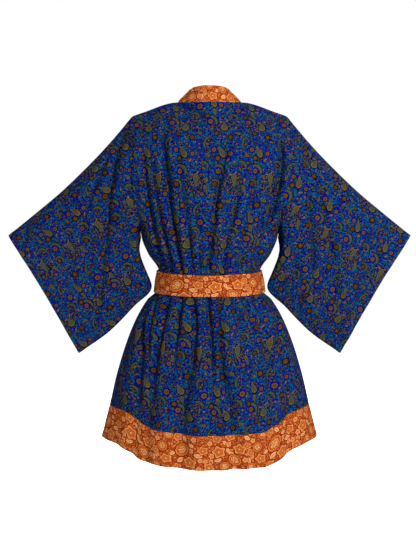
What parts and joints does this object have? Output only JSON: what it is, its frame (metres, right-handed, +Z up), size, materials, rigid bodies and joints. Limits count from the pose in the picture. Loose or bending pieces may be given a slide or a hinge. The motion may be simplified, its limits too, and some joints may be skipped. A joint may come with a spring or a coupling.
{
  "type": "kimono robe",
  "caption": "Short wrap robe of printed cloth with wide open sleeves, a contrast neck band and hem border, and a belt tied in front, filled out as it is worn.",
  "frame": {"origin": "midway between the two neck points of the shoulder seams, where the wearer's shoulders hold it", "axes": "+Z up, -Y the wearer's front, +X the wearer's left, so the sleeves reach out along X"},
  "size_m": [0.9718, 0.3494, 0.8826],
  "materials": {
    "printed_blue_silk": "satin",
    "printed_rust_silk": "satin"
  },
  "bodies": {
    "root": {"back": "printed_blue_silk", "left_front": "printed_blue_silk", "right_front": "printed_blue_silk", "left_sleeve": "printed_blue_silk", "right_sleeve": "printed_blue_silk", "neck_band": "printed_rust_silk", "left_front_band": "printed_rust_silk", "right_front_band": "printed_rust_silk", "back_hem_border": "printed_rust_silk", "left_front_hem_border": "printed_rust_silk", "right_front_hem_border": "printed_rust_silk", "belt": "printed_rust_silk", "belt_knot": "printed_rust_silk", "belt_end_left": "printed_rust_silk", "belt_end_right": "printed_rust_silk"}
  },
  "joints": []
}
